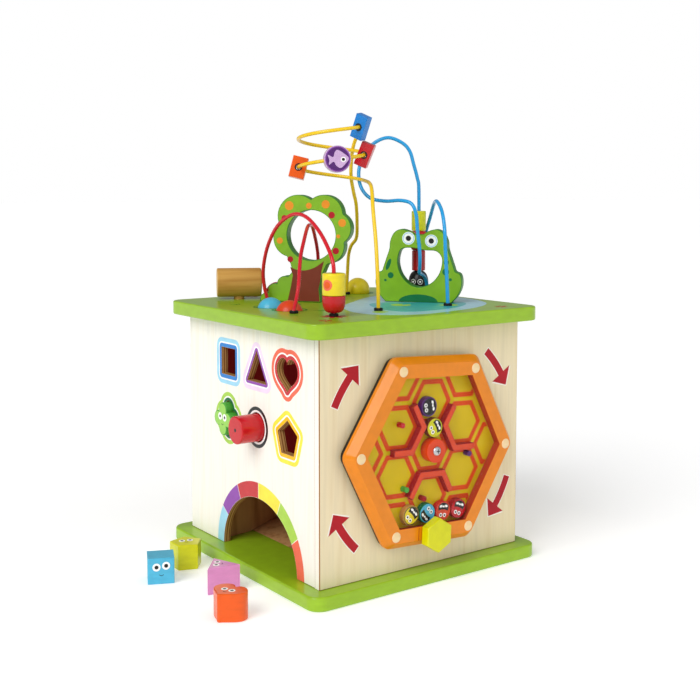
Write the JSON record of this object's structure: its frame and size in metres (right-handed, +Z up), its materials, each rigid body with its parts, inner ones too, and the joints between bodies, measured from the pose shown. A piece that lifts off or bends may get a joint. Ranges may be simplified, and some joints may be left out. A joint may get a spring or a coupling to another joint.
{
  "type": "baby activity cube",
  "caption": "Wooden activity cube with a shape sorter and doorway, turning maze wheel, gears, sliders, bead wires, tree, frog, pound-through balls and mallet.",
  "frame": {"origin": "middle of the underside of the base plate", "axes": "+Z up; -Y out of the maze wheel's face; -X out of the shape sorter's face"},
  "size_m": [0.4591, 0.365, 0.5721],
  "materials": {
    "green_paint": "painted, satin",
    "birch_lacquer": "pale lacquered plywood, satin",
    "birch_ply": "clear lacquered birch plywood",
    "beech": "clear lacquered beech",
    "maze_yellow": "painted and printed, gloss",
    "orange_paint": "painted, gloss",
    "red_orange_paint": "painted, gloss",
    "lime_paint": "painted, gloss",
    "leaf_green_paint": "painted, satin",
    "red_paint": "painted, gloss",
    "yellow_paint": "painted, gloss",
    "blue_paint": "painted, gloss",
    "bright_orange_paint": "painted, gloss",
    "purple_paint": "painted, gloss",
    "black_paint": "painted, gloss",
    "sky_blue_paint": "painted, satin",
    "pink_paint": "painted, satin",
    "clover_paint": "painted, satin",
    "wire_red": "plastic-coated steel wire, gloss",
    "wire_yellow": "plastic-coated steel wire, gloss",
    "wire_blue": "plastic-coated steel wire, gloss",
    "clear_window": "clear acrylic",
    "zinc_steel": "zinc plated",
    "black_rubber": "matt"
  },
  "bodies": {
    "cube": {"base_plate": "green_paint", "top_plate": "green_paint", "sorter_panel": "birch_lacquer", "maze_panel": "birch_ply", "right_panel": "birch_ply", "back_panel": "birch_ply", "corner_post_left_front": "birch_ply", "corner_post_right_front": "birch_ply", "corner_post_right_back": "birch_ply", "corner_post_left_back": "birch_ply", "ramp": "birch_ply", "guide_left": "birch_ply", "guide_right": "birch_ply", "tree": "leaf_green_paint", "frog": "leaf_green_paint", "wire_red_outer": "wire_red", "wire_red_inner": "wire_red", "wire_yellow": "wire_yellow", "wire_blue_tall": "wire_blue", "wire_blue_small": "wire_blue", "axle_screw": "zinc_steel", "axle_nut": "zinc_steel"},
    "wheel": {"wheel_board": "maze_yellow", "wheel_frame": "orange_paint", "wheel_window": "clear_window", "wheel_hub": "red_orange_paint", "wheel_knob": "lime_paint"},
    "mallet": {"mallet_head": "beech", "mallet_handle": "beech"},
    "counter_purple": {"counter_purple": "purple_paint"},
    "counter_lime": {"counter_lime": "lime_paint"},
    "counter_yellow": {"counter_yellow": "yellow_paint"},
    "counter_blue": {"counter_blue": "blue_paint"},
    "counter_orange": {"counter_orange": "bright_orange_paint"},
    "counter_red": {"counter_red": "red_paint"},
    "gear_1": {"gear_1": "red_paint"},
    "gear_2": {"gear_2": "yellow_paint"},
    "gear_3": {"gear_3": "blue_paint"},
    "slider_1": {"slider_1": "bright_orange_paint"},
    "slider_2": {"slider_2": "purple_paint"},
    "bead_egg_red": {"bead_egg_red": "red_paint"},
    "bead_cup_yellow": {"bead_cup_yellow": "yellow_paint"},
    "bead_bug": {"bead_bug": "black_paint"},
    "bead_red_drum": {"bead_red_drum": "red_paint"},
    "bead_red_cap": {"bead_red_cap": "red_paint"},
    "bead_yellow_drum": {"bead_yellow_drum": "yellow_paint"},
    "bead_orange_block": {"bead_orange_block": "bright_orange_paint"},
    "bead_red_block": {"bead_red_block": "red_paint"},
    "bead_blue_block": {"bead_blue_block": "blue_paint"},
    "bead_fish": {"bead_fish": "purple_paint"},
    "ball_blue": {"ball_blue": "blue_paint"},
    "ball_orange": {"ball_orange": "bright_orange_paint"},
    "ball_red": {"ball_red": "red_paint"},
    "ball_yellow": {"ball_yellow": "yellow_paint"},
    "block_square": {"block_square": "sky_blue_paint"},
    "block_triangle": {"block_triangle": "pink_paint"},
    "block_heart": {"block_heart": "bright_orange_paint"},
    "block_pentagon": {"block_pentagon": "lime_paint"},
    "block_clover": {"block_clover": "clover_paint"},
    "block_round": {"block_round": "red_paint"}
  },
  "joints": [
    {"name": "wheel_spin", "type": "hinge", "parent": "cube", "child": "wheel", "pos_m": [0, -0.154, 0.1625], "axis": [0, -1, 0], "continuous": true},
    {"name": "counter_yellow_slide", "type": "slide", "parent": "wheel", "child": "counter_yellow", "axis": [0.0523, 0, 0.9986], "range_m": [0, 0.006]},
    {"name": "counter_blue_slide", "type": "slide", "parent": "wheel", "child": "counter_blue", "axis": [0.0523, 0, 0.9986], "range_m": [0, 0.003]},
    {"name": "counter_orange_slide", "type": "slide", "parent": "wheel", "child": "counter_orange", "axis": [0.0523, 0, 0.9986], "range_m": [0, 0.008]},
    {"name": "counter_red_slide", "type": "slide", "parent": "wheel", "child": "counter_red", "axis": [0.0523, 0, 0.9986], "range_m": [0, 0.008]},
    {"name": "counter_purple_slide", "type": "slide", "parent": "wheel", "child": "counter_purple", "axis": [0.0523, 0, 0.9986], "range_m": [0, 0.01]},
    {"name": "counter_lime_slide", "type": "slide", "parent": "wheel", "child": "counter_lime", "axis": [0.0523, 0, 0.9986], "range_m": [0, 0.001]},
    {"name": "bead_egg_red_spin", "type": "hinge", "parent": "cube", "child": "bead_egg_red", "pos_m": [-0.108, -0.117, 0.3305], "axis": [0, 0, 1], "continuous": true},
    {"name": "bead_cup_yellow_spin", "type": "hinge", "parent": "cube", "child": "bead_cup_yellow", "pos_m": [-0.108, -0.117, 0.3305], "axis": [0, 0, 1], "continuous": true},
    {"name": "bead_bug_spin", "type": "hinge", "parent": "cube", "child": "bead_bug", "pos_m": [0.101, -0.018, 0.3305], "axis": [0, 0, 1], "continuous": true},
    {"name": "bead_red_drum_spin", "type": "hinge", "parent": "cube", "child": "bead_red_drum", "pos_m": [0.101, -0.018, 0.3305], "axis": [0, 0, 1], "continuous": true},
    {"name": "bead_red_cap_spin", "type": "hinge", "parent": "cube", "child": "bead_red_cap", "pos_m": [0.101, -0.018, 0.3305], "axis": [0, 0, 1], "continuous": true},
    {"name": "bead_yellow_drum_slide", "type": "slide", "parent": "cube", "child": "bead_yellow_drum", "axis": [0, 0, 1], "range_m": [0, 0.02]},
    {"name": "bead_orange_block_travel", "type": "hinge", "parent": "cube", "child": "bead_orange_block", "pos_m": [-0.01798, 0.01305, 0.50223], "axis": [0.077, 0.106, 0.9914], "range_deg": [-8, 8]},
    {"name": "bead_fish_travel", "type": "hinge", "parent": "cube", "child": "bead_fish", "pos_m": [-0.01825, 0.01418, 0.51228], "axis": [-0.1167, 0.0595, 0.9914], "range_deg": [-8, 8]},
    {"name": "bead_red_block_travel", "type": "hinge", "parent": "cube", "child": "bead_red_block", "pos_m": [-0.01908, 0.0141, 0.51898], "axis": [-0.1018, -0.0824, 0.9914], "range_deg": [0, 10]},
    {"name": "bead_blue_block_travel", "type": "hinge", "parent": "cube", "child": "bead_blue_block", "pos_m": [-0.01889, 0.01421, 0.55378], "axis": [-0.1215, -0.0491, 0.9914], "range_deg": [-10, 0]},
    {"name": "ball_blue_drop", "type": "slide", "parent": "cube", "child": "ball_blue", "axis": [0, 0, -1], "range_m": [0, 0.045]},
    {"name": "ball_orange_drop", "type": "slide", "parent": "cube", "child": "ball_orange", "axis": [0, 0, -1], "range_m": [0, 0.045]},
    {"name": "ball_red_drop", "type": "slide", "parent": "cube", "child": "ball_red", "axis": [0, 0, -1], "range_m": [0, 0.045]},
    {"name": "ball_yellow_drop", "type": "slide", "parent": "cube", "child": "ball_yellow", "axis": [0, 0, -1], "range_m": [0, 0.045]},
    {"name": "mallet_lift", "type": "slide", "parent": "cube", "child": "mallet", "axis": [0, 0, 1], "range_m": [0, 0.13]},
    {"name": "block_square_lift", "type": "slide", "parent": "cube", "child": "block_square", "axis": [0, 0, 1], "range_m": [0, 0.05]},
    {"name": "block_triangle_lift", "type": "slide", "parent": "cube", "child": "block_triangle", "axis": [0, 0, 1], "range_m": [0, 0.05]},
    {"name": "block_heart_lift", "type": "slide", "parent": "cube", "child": "block_heart", "axis": [0, 0, 1], "range_m": [0, 0.05]},
    {"name": "block_pentagon_lift", "type": "slide", "parent": "cube", "child": "block_pentagon", "axis": [0, 0, 1], "range_m": [0, 0.05]},
    {"name": "block_clover_push", "type": "slide", "parent": "cube", "child": "block_clover", "axis": [-1, 0, 0], "range_m": [-0.04, 0.03]},
    {"name": "block_round_push", "type": "slide", "parent": "cube", "child": "block_round", "axis": [-1, 0, 0], "range_m": [-0.045, 0.03]},
    {"name": "gear_1_spin", "type": "hinge", "parent": "cube", "child": "gear_1", "pos_m": [0.154, -0.062, 0.192], "axis": [1, 0, 0], "continuous": true},
    {"name": "gear_2_spin", "type": "hinge", "parent": "cube", "child": "gear_2", "pos_m": [0.154, 0.00597, 0.1603], "axis": [1, 0, 0], "continuous": true},
    {"name": "gear_3_spin", "type": "hinge", "parent": "cube", "child": "gear_3", "pos_m": [0.154, 0.06127, 0.19902], "axis": [1, 0, 0], "continuous": true},
    {"name": "slider_1_travel", "type": "slide", "parent": "cube", "child": "slider_1", "axis": [-1, 0, 0], "range_m": [-0.03, 0.02]},
    {"name": "slider_2_travel", "type": "slide", "parent": "cube", "child": "slider_2", "axis": [-1, 0, 0], "range_m": [-0.03, 0.05]}
  ],
  "couplings": [
    {"joint": "gear_2_spin", "follows": "gear_1_spin", "ratio": -1.5},
    {"joint": "gear_3_spin", "follows": "gear_1_spin", "ratio": 1.2}
  ]
}
